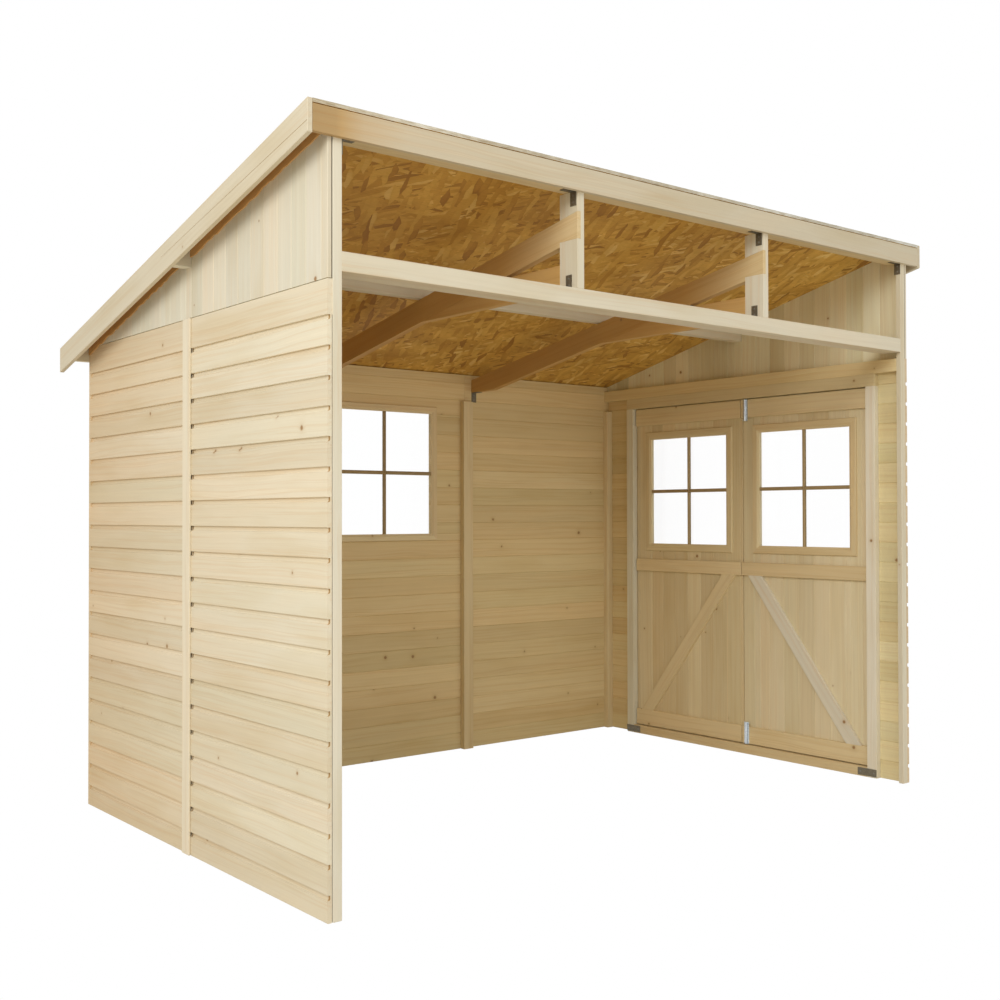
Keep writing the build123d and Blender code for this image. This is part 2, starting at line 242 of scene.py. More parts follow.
def knots_in(tree, grain, chance):
    """Knots in some of the cells, as how much of the core and of the ring round it shows."""
    distance, random_values = cells(tree, grain, KNOT_CELLS)
    chosen = math_node(tree, "LESS_THAN", random_values[0], chance)
    edge = noise(tree, grain, KNOT_EDGE_SCALE)
    ragged = math_node(tree, "MULTIPLY_ADD", edge, KNOT_RAGGEDNESS, distance)
    size = math_node(tree, "MULTIPLY_ADD", random_values[1], KNOT_SIZE_RANGE, KNOT_SIZE)
    core = math_node(tree, "SUBTRACT", size, ragged)
    core = math_node(tree, "MULTIPLY", core, KNOT_EDGE_SHARPNESS, clamp=True)
    core = math_node(tree, "MULTIPLY", core, chosen)
    ring = math_node(tree, "DIVIDE", size, ragged)
    ring = math_node(tree, "POWER", ring, KNOT_RING_FADE)
    ring = math_node(tree, "MULTIPLY", ring, chosen, clamp=True)
    return core, ring


def bent_grain(tree, grain, knot_ring):
    """The grain with a slow wave, pushed aside round the knots."""
    wave = noise(tree, grain, stretch=WAVE_STRETCH)
    wave = math_node(tree, "MULTIPLY", wave, WAVE_HEIGHT)
    aside = math_node(tree, "MULTIPLY_ADD", knot_ring, KNOT_BEND, wave)
    shift = add_node(tree, "CombineXYZ", {1: aside}).outputs[0]
    return add_node(tree, "VectorMath", {0: grain, 1: shift}, operation="ADD").outputs[0]


def spruce(name, pale, dark, knots, spread=1.0):
    """Planed spruce. Its grain and tone come from the attributes that every board carries.

    knots is the share of cells with a knot, and spread is how much the boards differ.
    """
    material, tree, shader = new_material(name)
    grain = attribute(tree, "grain", "Vector")
    light, tint, shade_and_tone_channel = channels(tree, attribute(tree, "tone", "Color"))
    knot_core, knot_ring = knots_in(tree, grain, knots)
    bent = bent_grain(tree, grain, knot_ring)
    streak = noise(tree, bent, detail=4.0, rough=0.6, stretch=STREAK_STRETCH)
    fibre = noise(tree, bent, rough=0.7, stretch=FIBRE_STRETCH)
    cloud = noise(tree, grain, stretch=CLOUD_STRETCH)

    colour = ramp(tree, streak, (
        (0.30, pale),
        (0.52, darker(pale, 0.955)),
        (0.60, between(pale, dark, 0.28)),
        (0.66, pale),
        (0.80, between(pale, dark, 0.2)),
    ))
    colour = tinted(tree, colour, fibre, FIBRE_STOPS)
    colour = tinted(tree, colour, cloud, CLOUD_STOPS)
    colour = tinted(tree, colour, tint, TINT_STOPS)
    dark_board = tuple(1.0 - drop * spread for drop in DARK_BOARD_DROP)
    colour = tinted(tree, colour, light, ((0.0, dark_board), (1.0, LIGHT_BOARD)))
    # Third tone channel: painted shade in hollows, notches, gaps, board ends and rafters; tone
    # elsewhere.
    colour = tinted(tree, colour, shade_and_tone_channel, SHADE_AND_TONE_STOPS)
    ring_share = math_node(tree, "MULTIPLY", knot_ring, KNOT_RING_SHARE)
    colour = mixed(tree, "MIX", ring_share, colour, darker(dark, 0.85))
    colour = mixed(tree, "MIX", knot_core, colour, KNOT_COLOUR)
    rough = math_node(tree, "MULTIPLY_ADD", streak, 0.15, 0.6)
    inputs = {"Base Color": colour, "Roughness": rough, "Specular IOR Level": 0.35}
    height = math_node(tree, "MULTIPLY_ADD", streak, 0.6, fibre)
    finish_shader(tree, shader, inputs, height, strength=0.12, distance=0.001)
    return material


# Strand board. Each layer of strands has an angle and a shift.
STRAND_LAYERS = ((0.25, 0.0), (-0.55, 3.1), (1.05, 7.7), (-0.1, 5.2), (0.7, 9.4), (-1.2, 2.6))
STRAND_STRETCH = (10.0, 48.0, 1.0)
STRAND_WOBBLE = 0.006
STRAND_WOBBLE_SCALE = 22.0
STRAND_STOPS = (
    (0.0, (0.40, 0.18, 0.025)),
    (0.12, (0.56, 0.285, 0.043)),
    (0.5, (0.66, 0.36, 0.062)),
    (0.85, (0.75, 0.44, 0.09)),
    (1.0, (0.86, 0.58, 0.19)),
)
SAWN_STRETCH = (25.0, 25.0, 500.0)
SAWN_STOPS = ((0.35, (0.50, 0.42, 0.29)), (0.6, (0.72, 0.67, 0.55)))
FINE_STRETCH = (40.0, 160.0, 40.0)
FINE_STOPS = ((0.3, (0.86, 0.84, 0.8)), (0.7, WHITE))
PATCH_STRETCH = (2.6, 5.0, 1.0)
PATCH_STOPS = ((0.3, (0.80, 0.76, 0.68)), (0.7, (1.10, 1.13, 1.18)))
# The deck gets lighter toward +X, a painted light for the brighter right-hand bays.
ROOF_LIGHT_FADE_SHARE = 0.31
ROOF_LIGHT_FADE_STOPS = ((0.0, (0.92, 0.89, 0.82)), (1.0, (1.06, 1.15, 1.28)))


def strand_layer(tree, place, turn, shift):
    """One layer of strands, as each strand's shade and its chance to lie on top."""
    turned = mapped(tree, place, turn=turn)
    stretched = mapped(tree, turned, STRAND_STRETCH, move=(shift, shift * 2.0, 0.0))
    distance, random_values = cells(tree, stretched, 1.0)
    rim = math_node(tree, "POWER", distance, 4.0)
    return math_node(tree, "MULTIPLY_ADD", rim, -0.3, random_values[0]), random_values[1]


def strand_shade(tree, where):
    """The shade of the strand that lies on top at a place."""
    wobble = noise(tree, where, STRAND_WOBBLE_SCALE, rough=0.5, output="Color")
    place = mixed(tree, "LINEAR_LIGHT", STRAND_WOBBLE, where, wobble)
    layers = [strand_layer(tree, place, turn, shift) for turn, shift in STRAND_LAYERS]
    top = layers[0][0]
    for shade, chance in layers[1:]:
        over = math_node(tree, "GREATER_THAN", chance, 0.5)
        top = mixed_values(tree, over, top, shade)
    return top


def strand_board(name):
    """Pressed board of flat wood strands that lie in all directions, with sawn edges."""
    material, tree, shader = new_material(name)
    where = coordinates(tree, "Object")
    shade = strand_shade(tree, where)
    colour = ramp(tree, shade, STRAND_STOPS)
    level = math_node(tree, "ABSOLUTE", axis_of(tree, coordinates(tree, "Normal"), 2))
    is_edge = math_node(tree, "LESS_THAN", level, 0.5)
    sawn = ramp(tree, noise(tree, where, stretch=SAWN_STRETCH), SAWN_STOPS)
    colour = mixed(tree, "MIX", is_edge, colour, sawn)
    colour = tinted(tree, colour, noise(tree, where, detail=3.0, stretch=FINE_STRETCH), FINE_STOPS)
    colour = tinted(tree, colour, noise(tree, where, stretch=PATCH_STRETCH), PATCH_STOPS)
    # Painted light: lighter toward +X.
    along = math_node(tree, "MULTIPLY_ADD", axis_of(tree, where, 0), ROOF_LIGHT_FADE_SHARE, 0.5)
    colour = tinted(tree, colour, along, ROOF_LIGHT_FADE_STOPS)
    inputs = {"Base Color": colour, "Roughness": 0.62, "Specular IOR Level": 0.4}
    finish_shader(tree, shader, inputs, shade, strength=0.3, distance=0.0012)
    return material


def metal(name, colour, rough, metallic):
    """Sheet or bar steel with a faint mottle."""
    material, tree, shader = new_material(name)
    mottle = noise(tree, coordinates(tree, "Object"), 130.0, detail=3.0, rough=0.6)
    lighter = tuple(min(1.0, 1.15 * c) for c in colour)
    stops = ((0.3, darker(colour, 0.78)), (0.7, lighter))
    varied = math_node(tree, "MULTIPLY_ADD", mottle, 0.18, rough)
    inputs = {"Base Color": ramp(tree, mottle, stops), "Roughness": varied, "Metallic": metallic}
    finish_shader(tree, shader, inputs, mottle, strength=0.08, distance=0.0005)
    return material


def glass(name):
    """Clear glass with faint smears."""
    material, tree, shader = new_material(name)
    smear = noise(tree, coordinates(tree, "Object"), 9.0, detail=3.0)
    rough = math_node(tree, "MULTIPLY_ADD", smear, 0.03, 0.01)
    clear = {"Base Color": (0.96, 0.98, 0.98), "Transmission Weight": 1.0, "IOR": 1.45, "Alpha": 0.06}
    finish_shader(tree, shader, {"Roughness": rough, **clear})
    return material


WALL_WOOD = spruce("wall_wood", (0.82, 0.745, 0.58), (0.62, 0.43, 0.22), knots=0.16)
PLANK_WOOD = spruce("plank_wood", (0.78, 0.735, 0.605), (0.72, 0.60, 0.42), knots=0.2)
GABLE_WOOD = spruce("gable_inner_wood", (0.89, 0.85, 0.63), (0.66, 0.50, 0.28), knots=0.2, spread=2.4)
INNER_WOOD = spruce("inner_wood", (0.81, 0.66, 0.37), (0.54, 0.34, 0.13), knots=0.2, spread=1.2)
DOOR_WOOD = spruce("door_wood", (0.82, 0.70, 0.45), (0.62, 0.45, 0.22), knots=0.2, spread=1.6)
LEAF_WOOD = spruce("front_leaf_wood", (0.84, 0.74, 0.51), (0.64, 0.48, 0.26), knots=0.2, spread=1.6)
STRIP_WOOD = spruce("strip_wood", (0.84, 0.75, 0.46), (0.56, 0.38, 0.17), knots=0.2, spread=1.8)
FRAME_WOOD = spruce("frame_wood", (0.785, 0.745, 0.61), (0.62, 0.43, 0.22), knots=0.14)
JAMB_WOOD = spruce("jamb_wood", (0.86, 0.83, 0.71), (0.66, 0.48, 0.27), knots=0.14)
SASH_WOOD = spruce("sash_wood", (0.81, 0.68, 0.42), (0.56, 0.37, 0.15), knots=0.1)
PACKING_AND_SHADE_WOOD = spruce("packing_and_shade_wood", (0.68, 0.40, 0.15), (0.42, 0.2, 0.05), knots=0.14)
TRIM_WOOD = spruce("trim_wood", (0.83, 0.75, 0.58), (0.64, 0.45, 0.24), knots=0.1)
EDGE_WOOD = spruce("edge_wood", (0.69, 0.63, 0.49), (0.55, 0.39, 0.21), knots=0.1)
BAR_WOOD = spruce("bar_wood", (0.42, 0.31, 0.16), (0.26, 0.16, 0.07), knots=0.1)
STRANDS = strand_board("strand_board")
ZINC_DARK = metal("zinc_dark", (0.19, 0.165, 0.115), rough=0.45, metallic=0.5)
SCREW_STEEL = metal("screw_steel", (0.24, 0.23, 0.20), rough=0.35, metallic=0.8)
BLACK_STEEL = metal("black_steel", (0.025, 0.025, 0.027), rough=0.42, metallic=0.2)
BRIGHT_ZINC = metal("bright_zinc", (0.66, 0.72, 0.76), rough=0.28, metallic=0.85)
GLASS = glass("clear_glass")


# Meshes.
GRAIN_JUMP = 40
UPRIGHT_GRAIN = 0.8
OUTWARD_LEAST = 0.3
FLAT_ANGLE = 0.01
SHARP_ANGLE = 0.3
TIMBER_EASE = 0.0012
TRIM_EASE = 0.0016


def directions(along):
    """The grain's direction and two directions across it."""
    a = Vector(along).normalized()
    b = Vector(UP) if abs(a.z) < UPRIGHT_GRAIN else Vector(ALONG_Y)
    b = (b - a * b.dot(a)).normalized()
    return a, b, a.cross(b)


def own_look():
    """A board's random place in the wood, its lightness and its tint."""
    jump = Vector((rng.uniform(0, GRAIN_JUMP), rng.uniform(0, GRAIN_JUMP), rng.uniform(0, GRAIN_JUMP)))
    light = rng.random()
    tint = rng.random()
    return jump, light, tint


def in_the_grain(point, axes, jump):
    a, b, c = axes
    return Vector((point.dot(a), point.dot(b), point.dot(c))) + jump


def write_grain(mesh, grain, tone):
    """Stores the place in the grain and the board's tone on every point of a mesh."""
    mesh.attributes.new("grain", "FLOAT_VECTOR", "POINT")
    mesh.attributes.new("tone", "FLOAT_COLOR", "POINT")
    mesh.attributes["grain"].data.foreach_set("vector", [value for place in grain for value in place])
    mesh.attributes["tone"].data.foreach_set("color", [value for colour in tone for value in colour])


def new_object(name, data):
    thing = bpy.data.objects.new(name, data)
    bpy.context.scene.collection.objects.link(thing)
    return thing


class Bucket:
    """Boards gathered into one mesh. Each board has its own grain and tone."""

    def __init__(self):
        self.points = []
        self.faces = []
        self.grain = []
        self.tone = []

    def add(self, rings, along, shades=None):
        """A closed board through two or more rings of points, with its grain along a direction."""
        start = len(self.points)
        count = len(rings[0])
        axes = directions(along)
        jump, light, tint = own_look()
        for index, ring in enumerate(rings):
            for corner, point in enumerate(ring):
                point = Vector(point)
                # The shades carry painted shade and browner tone.
                shade_and_tone_channel = shades[index][corner] if shades else 1.0
                self.points.append(point)
                self.grain.append(in_the_grain(point, axes, jump))
                self.tone.append((light, tint, shade_and_tone_channel, 1.0))
        for r in range(len(rings) - 1):
            base = start + r * count
            for i in range(count):
                j = (i + 1) % count
                self.faces.append((base + i, base + j, base + count + j, base + count + i))
        self.faces.append(tuple(start + i for i in reversed(range(count))))
        last = start + (len(rings) - 1) * count
        self.faces.append(tuple(last + i for i in range(count)))

    def build(self, name, material, body, slot, *nodes, outside=None, outward=UP):
        """Makes the piece. Faces that look outward take the outside's material, if there is one."""
        mesh = bpy.data.meshes.new(name)
        mesh.from_pydata(self.points, [], self.faces)
        work = bmesh.new()
        work.from_mesh(mesh)
        bmesh.ops.recalc_face_normals(work, faces=work.faces)
        work.to_mesh(mesh)
        work.free()
        write_grain(mesh, self.grain, self.tone)
        piece = new_object(name, mesh)
        mesh.materials.append(material)
        if outside:
            mesh.materials.append(outside)
            for polygon in mesh.polygons:
                polygon.material_index = int(polygon.normal.dot(Vector(outward)) > OUTWARD_LEAST)
        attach(piece, body)
        if nodes:
            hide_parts(*nodes)


def merged(source):
    """A CAD node's mesh with its flat faces made whole."""
    work = bmesh.new()
    work.from_mesh(source.data)
    bmesh.ops.remove_doubles(work, verts=work.verts, dist=WELD)
    bmesh.ops.dissolve_limit(work, angle_limit=FLAT_ANGLE, verts=work.verts, edges=work.edges)
    return work


def softened(node, name, material, along, ease=TIMBER_EASE, cuts=(), shade_at=None):
    """A CAD node's shape with eased edges and a grain for each of its boards."""
    source = frame["nodes"][node]
    work = merged(source)
    sharp = [e for e in work.edges if len(e.link_faces) == 2 and e.calc_face_angle(0) > SHARP_ANGLE]
    easing = {"segments": 1, "affect": "EDGES", "profile": 0.5, "clamp_overlap": True}
    bmesh.ops.bevel(work, geom=sharp, offset=ease, **easing)
    for y in cuts:
        geometry = list(work.verts) + list(work.edges) + list(work.faces)
        bmesh.ops.bisect_plane(work, geom=geometry, plane_co=(0, y, 0), plane_no=ALONG_Y)
    mesh = bpy.data.meshes.new(name)
    work.to_mesh(mesh)
    work.free()
    piece = new_object(name, mesh)
    grain_by_island(mesh, along, shade_at)
    mesh.materials.clear()
    mesh.materials.append(material)
    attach(piece, source["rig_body"])
    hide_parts(node)


def islands_of(mesh):
    """The points of each separate board of a mesh, in the order of their first points."""
    parent = list(range(len(mesh.vertices)))

    def root(i):
        while parent[i] != i:
            parent[i] = parent[parent[i]]
            i = parent[i]
        return i

    for edge in mesh.edges:
        parent[root(edge.vertices[0])] = root(edge.vertices[1])
    islands = {}
    for vertex in mesh.vertices:
        islands.setdefault(root(vertex.index), []).append(vertex.index)
    return sorted(islands.values(), key=min)


def grain_by_island(mesh, along, shade_at=None):
    """Gives every separate board of a mesh its own grain and tone."""
    grain = [None] * len(mesh.vertices)
    tone = [None] * len(mesh.vertices)
    axes = directions(along)
    for island in islands_of(mesh):
        jump, light, tint = own_look()
        for i in island:
            point = mesh.vertices[i].co
            grain[i] = in_the_grain(point, axes, jump)
            tone[i] = (light, tint, shade_at(point) if shade_at else 1.0, 1.0)
    write_grain(mesh, grain, tone)


def refinish(node, material):
    """Gives a CAD node that stays a new material."""
    materials = frame["nodes"][node].data.materials
    materials.clear()
    materials.append(material)


# Level boards. The hollow along a board's upper edge has a start, a turn and a floor, as lengths
# down from that edge. Shades are one for each corner of the section, and 1 is plain wood. The
# hollow's floor is darkened as painted shade.
HOLLOW_DEPTH = 0.0070
HOLLOW_TURN_DEPTH = 0.0052
HOLLOW_START = 0.0170
HOLLOW_TURN = 0.0142
HOLLOW_FLOOR = 0.0105
HOLLOW_PAINTED_SHADES = [1.0] * 4 + [0.98, 0.90] + [1.0] * 4
FOOT_EASE = 0.0015
INNER_EASE = 0.0026
TOP_BOARD_EASE = 0.001
TOP_BOARD_INNER_EASE = 0.0016
NOTCH_TURN_RISE = 0.002
NOTCH_INNER_GAP = 0.0022
REVEAL = 0.03


def courses(z0, z1):
    """Lower and upper edges of the level boards between two heights."""
    edges = [z0]
    level = FIRST_COURSE
    while level < z1 - NARROWEST_TOP_BOARD:
        if level > z0 + NARROWEST_FOOT_BOARD:
            edges.append(level)
        level += COURSE
    edges.append(z1)
    return list(zip(edges[:-1], edges[1:]))


def top_board_outline(z0, z1):
    """A board's section without a hollow, as depth from the outer face and height."""
    ease = TOP_BOARD_EASE
    inner = TOP_BOARD_INNER_EASE
    return (
        (ease, z0), (0.0, z0 + ease), (0.0, z1 - ease), (ease, z1),
        (CLAD - ease, z1), (CLAD, z1 - ease), (CLAD, z0 + inner), (CLAD - inner, z0),
    )


def board_outline(z0, z1):
    """A board's section as depth from the outer face and height, with its hollow."""
    return (
        (FOOT_EASE, z0), (0.0, z0 + FOOT_EASE), (0.0, z1 - HOLLOW_START),
        (HOLLOW_TURN_DEPTH, z1 - HOLLOW_TURN), (HOLLOW_DEPTH, z1 - HOLLOW_FLOOR), (HOLLOW_DEPTH, z1),
        (CLAD - INNER_EASE, z1), (CLAD, z1 - INNER_EASE),
        (CLAD, z0 + INNER_EASE), (CLAD - INNER_EASE, z0),
    )


def filled(outline):
    """A board's section with its hollow filled."""
    section = list(outline)
    section[3:6] = [(0.0, z) for _, z in outline[3:6]]
    return section


def notched(outline, depth):
    """A board's section with a deeper hollow. Its inner face stands off the timber behind it."""
    section = list(outline)
    depths = (depth - NOTCH_TURN_RISE, depth, depth)
    section[3:6] = [(d, z) for d, (_, z) in zip(depths, outline[3:6])]
    section[6:10] = [(min(d, CLAD - NOTCH_INNER_GAP), z) for d, z in outline[6:10]]
    return section


def board_sections(start, end, outline, notches, fills):
    """Where a board's section changes along its run, as run, section and shade at each corner.

    A notch is a start, an end, how deep the hollow goes there and how light its floor is. A
    fill is a start and an end between which the board has no hollow.
    """
    plain = [1.0] * len(outline)
    if len(outline) < len(HOLLOW_PAINTED_SHADES):
        return [(start, outline, plain), (end, outline, plain)]
    changes = [(n0, n1, filled(outline), plain) for n0, n1 in fills]
    for n0, n1, depth, light in notches:
        # The notch's floor and the gap behind its inner face are painted dark, as painted shade.
        changes.append((n0, n1, notched(outline, depth), [1.0] * 3 + [light] * 3 + [0.0] * 4))
    own = (outline, HOLLOW_PAINTED_SHADES)
    marks = []
    run = start
    for n0, n1, section, shades in sorted(changes, key=lambda change: change[0]):
        n0 = max(n0, start)
        n1 = min(n1, end)
        if n1 < n0 + TINY:
            continue
        if n0 > run + TINY:
            marks += [(run, *own), (n0, *own), (n0, section, shades)]
        else:
            marks += [(n0, section, plain), (n0 + 100 * TINY, section, shades)]
        marks.append((n1, section, shades))
        run = n1
    if run < end - TINY:
        marks += [(run, *own), (end, *own)]
    return marks


def plain_wood(run):
    return 1.0


def around_hole(low, high, start, end, hole):
    """A board in strips round a window hole, as lower edge, upper edge and runs."""
    if not hole:
        return [(low, high, [(start, end)])]
    hole_start, hole_end, foot, head = hole
    edges = sorted({low, high, *[z for z in (foot, head) if low < z < high]})
    strips = []
    for a, b in zip(edges[:-1], edges[1:]):
        cut = a >= foot - TINY and b <= head + TINY
        strips.append((a, b, [(start, hole_start), (hole_end, end)] if cut else [(start, end)]))
    return strips


def level_boards(bucket, place, runs, heights, hole=None, notches=(), fills=(), shade_and_tone_at=plain_wood):
    """Fills a wall with level boards. place turns run, depth and height into a point in space."""
    start, end = runs
    parts = courses(*heights)
    for index, (low, high) in enumerate(parts):
        for a, b, spans in around_hole(low, high, start, end, hole):
            hollowless = index == len(parts) - 1 or abs(b - high) > TINY
            outline = top_board_outline(a, b) if hollowless else board_outline(a, b)
            for s, e in spans:
                beside = list(fills)
                if e < end:
                    beside.append((e - REVEAL, e))
                if s > start:
                    beside.append((s, s + REVEAL))
                marks = board_sections(s, e, outline, notches, beside)
                rings = [[place(run, d, z) for d, z in section] for run, section, _ in marks]
                shades = [[shade_and_tone_at(run) * shade for shade in shade_row] for run, _, shade_row in marks]
                bucket.add(rings, Vector(rings[-1][0]) - Vector(rings[0][0]), shades)


def on_side_wall(side):
    """Places boards on the left wall, for -1, or on the right wall, for 1."""
    return lambda run, depth, z: (side * (HALF - depth), run, z)


def on_back_wall(run, depth, z):
    return (run, BACK_Y - depth, z)


# The hollows are cut deeper at the side walls' front ends and beside the joint batten, and filled
# where the side walls meet the back wall's boards. A notch's last two values are its depth and the
# lightness of the painted shade on its floor.
CORNER_WIDTH = 0.006
CORNER_NOTCH = (FRONT_Y + END_GAP, FRONT_Y + END_GAP + CORNER_WIDTH, 0.0100, 0.35)
BATTEN_NOTCH_DEPTH = 0.0135
BATTEN_NOTCH_WIDTH = 0.007
BATTEN_COVER = 0.002
AT_BACK_WALL = (BACK_Y - CLAD, BACK_Y)
LEFT_PANEL_GAP = 0.001
BACK_PANEL_GAP = 0.0005
BACK_BOARDS_TOP = 1.9572
FRONT_PANEL_TONE = 0.93
FRONT_PANEL_FADE = 0.08
REAR_PANEL_TONE = 0.84
REAR_PANEL_FADE = 0.10
CORNER_END_SHADE = 0.8


def left_wall_tone(y):
    """The left wall's boards get browner toward the back, most of all in the rear panel."""
    if y < 0:
        return FRONT_PANEL_TONE - FRONT_PANEL_FADE * y
    return REAR_PANEL_TONE - REAR_PANEL_FADE * y


def right_wall_end_shade(y):
    """The right wall's boards are browner at their front ends."""
    # Painted shade on the board ends at the front.
    return CORNER_END_SHADE if y < FRONT_Y + CORNER_WIDTH else 1.0


def batten_notches():
    low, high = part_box("left_wall_joint_batten")
    return (
        (low.y - BATTEN_NOTCH_WIDTH, low.y + BATTEN_COVER, BATTEN_NOTCH_DEPTH, 0.0),
        (high.y - BATTEN_COVER, high.y + BATTEN_NOTCH_WIDTH, BATTEN_NOTCH_DEPTH, 0.0),
    )


def side_wall(name, side, material, nodes, notches, shade_and_tone_at, gap=0.0, **looks):
    """The boards of some panels of a side wall. gap is left before a panel that isn't in front."""
    bucket = Bucket()
    place = on_side_wall(side)
    for node in nodes:
        low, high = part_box(node)
        start = low.y + (END_GAP if low.y < FRONT_Y + TINY else gap)
        level_boards(
            bucket, place, (start, high.y), (low.z, high.z), None, notches, (AT_BACK_WALL,), shade_and_tone_at
        )
    bucket.build(name, material, "shed", "wall_boards", *nodes, **looks)


def right_wall(name, material, *nodes):
    looks = {"outside": WALL_WOOD, "outward": (1, -1, 0)}
    side_wall(name, 1, material, nodes, (CORNER_NOTCH,), right_wall_end_shade, **looks)


def back_wall(window):
    bucket = Bucket()
    nodes = ("back_wall_left_panel", "back_wall_window_panel", "back_wall_right_panel")
    for node in nodes:
        low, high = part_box(node)
        hole = None
        if node == "back_wall_window_panel":
            hole = (window[0].x, window[1].x, window[0].z, window[1].z)
        runs = (low.x + BACK_PANEL_GAP, high.x - BACK_PANEL_GAP)
        level_boards(bucket, on_back_wall, runs, (0.0, min(high.z, BACK_BOARDS_TOP)), hole)
    bucket.build(
        "back_wall_boards", INNER_WOOD, "shed", "wall_boards", *nodes, outside=WALL_WOOD, outward=ALONG_Y
    )


back_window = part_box("back_window_pane")
side_wall(
    "left_wall_boards",
    -1,
    WALL_WOOD,
    ("left_wall_front_panel", "left_wall_rear_panel"),
    (CORNER_NOTCH, *batten_notches()),
    left_wall_tone,
    LEFT_PANEL_GAP,
)
right_wall("right_wall_front_boards", STRIP_WOOD, "right_wall_front_panel")
right_wall("right_wall_boards", INNER_WOOD, "right_wall_rear_panel", "right_wall_header_panel")
back_wall(back_window)


# Gables of upright boards. The roof's slope comes from the front panel of a gable, and the middle
# purlin passes through the gables between their panels.
gable_points = [v.co for v in frame["nodes"]["left_gable_front_panel"].data.vertices]
high_edge = max(gable_points, key=lambda p: p.z)
low_edge = max((p for p in gable_points if p.y > high_edge.y + 0.1), key=lambda p: p.z)
FALL = (high_edge.z - low_edge.z) / (low_edge.y - high_edge.y)
DOWN_THE_ROOF = (0, 1, -FALL)
PURLIN_WIDTH = 0.045
PURLIN_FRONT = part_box("left_gable_front_panel")[1].y
PURLIN_REAR = PURLIN_FRONT + PURLIN_WIDTH
PURLIN_UNDER = min(
    v.co.z for v in frame["nodes"]["roof_purlins"].data.vertices if v.co.y < PURLIN_REAR + 0.01
)
V_JOINT = 0.0022
GABLE_FOOT_GAP = 0.002
GABLE_PLANK_LINE = -0.082
POST_COVER = 0.008
POST_STAND_OFF = (0.0030, 0.0040, 0.0045)


def under_roof(y):
    return high_edge.z - (y - high_edge.y) * FALL


def upright_outline(y0, y1):
    """An upright board's section as run and depth, with small V joints on both faces."""
    v = V_JOINT
    return [
        (y0, v), (y0 + v, 0.0), (y1 - v, 0.0), (y1, v),
        (y1, CLAD - v), (y1 - v, CLAD), (y0 + v, CLAD), (y0, CLAD - v),
    ]


def front_plank_outline(y0, y1):
    """The first gable board's section, with its shades. It stands off the corner post's face."""
    near, far, edge = POST_STAND_OFF
    outline = upright_outline(y0, y1)
    outline[6:] = [(y0 + POST_COVER, CLAD - near), (y0, CLAD - far), (y0, CLAD - edge)]
    # The two corners at the gap by the post are painted black, a painted shade in the gap.
    return outline, [1.0] * 6 + [0.0] * 2 + [1.0]


def plank_spans(start, end, line):
    """The upright boards between two places, with one joint on a line."""
    edges = [start]
    place = line
    while place > start:
        place -= PLANK
    while place < end - NARROWEST_PLANK:
        if place > start + NARROWEST_PLANK:
            edges.append(place)
        place += PLANK
    edges.append(end)
    return list(zip(edges[:-1], edges[1:]))


def gable(side, label):
    bucket = Bucket()
    place = on_side_wall(side)
    spans = [(a, b, None) for a, b in plank_spans(FRONT_Y + END_GAP, PURLIN_FRONT, GABLE_PLANK_LINE)]
    spans.append((PURLIN_FRONT, PURLIN_REAR, PURLIN_UNDER))
    spans += [(a, b, None) for a, b in plank_spans(PURLIN_REAR, BACK_Y, GABLE_PLANK_LINE)]
    for a, b, top in spans:
        outline = upright_outline(a, b)
        shades = [1.0] * len(outline)
        if a < FRONT_Y + 0.01:
            outline, shades = front_plank_outline(a, b)
        foot = [place(y, d, WALL_TOP + GABLE_FOOT_GAP) for y, d in outline]
        head = [place(y, d, top or under_roof(y)) for y, d in outline]
        bucket.add([foot, head], UP, [shades, shades])
    nodes = (f"{label}_gable_front_panel", f"{label}_gable_rear_panel")
    looks = {"outside": PLANK_WOOD, "outward": (side, -1, 0)}
    bucket.build(f"{label}_gable_boards", GABLE_WOOD, "shed", "vertical_boards", *nodes, **looks)


gable(-1, "left")
gable(1, "right")


# Windows. A place in a window is its run along the wall, its depth on the axis across the wall and
# its height.
BAR_WIDTH = 0.0145
LEVEL_BAR_WIDTH = 0.018
BAR_TIP_EASE = 0.004
TRIM_STEP = 0.012
TRIM_EDGE = 0.003
BAR_STAND_OFF = 0.002
BAR_INSET = 0.001


def in_side_wall(run, depth, z):
    return (depth, run, z)


def in_back_wall(run, depth, z):
    return (run, depth, z)


def bar_outline(foot, tip):
    """A window bar's section as a place across it and depth, from the pane out to its tip."""
    half = BAR_WIDTH / 2
    middle = (foot + tip) / 2
    return (
        (-half, foot), (half, foot), (half, middle),
        (half - BAR_TIP_EASE, tip), (-half + BAR_TIP_EASE, tip), (-half, middle),
    )


def glazing_bars(bucket, place, runs, heights, inner_depths, outer_depths):
    """Crossed bars on both sides of a pane, one upright and one level."""
    middle = sum(runs) / 2
    level = sum(heights) / 2
    half = BAR_WIDTH / 2
    share = LEVEL_BAR_WIDTH / BAR_WIDTH
    for tip, foot in (inner_depths, outer_depths[::-1]):
        outline = bar_outline(foot, tip)
        rings = [[place(middle + across, d, z) for across, d in outline] for z in heights]
        bucket.add(rings, UP)
        for ends in ((runs[0], middle - half), (middle + half, runs[1])):
            rings = [[place(run, d, level + across * share) for across, d in outline] for run in ends]
            bucket.add(rings, Vector(rings[1][0]) - Vector(rings[0][0]))


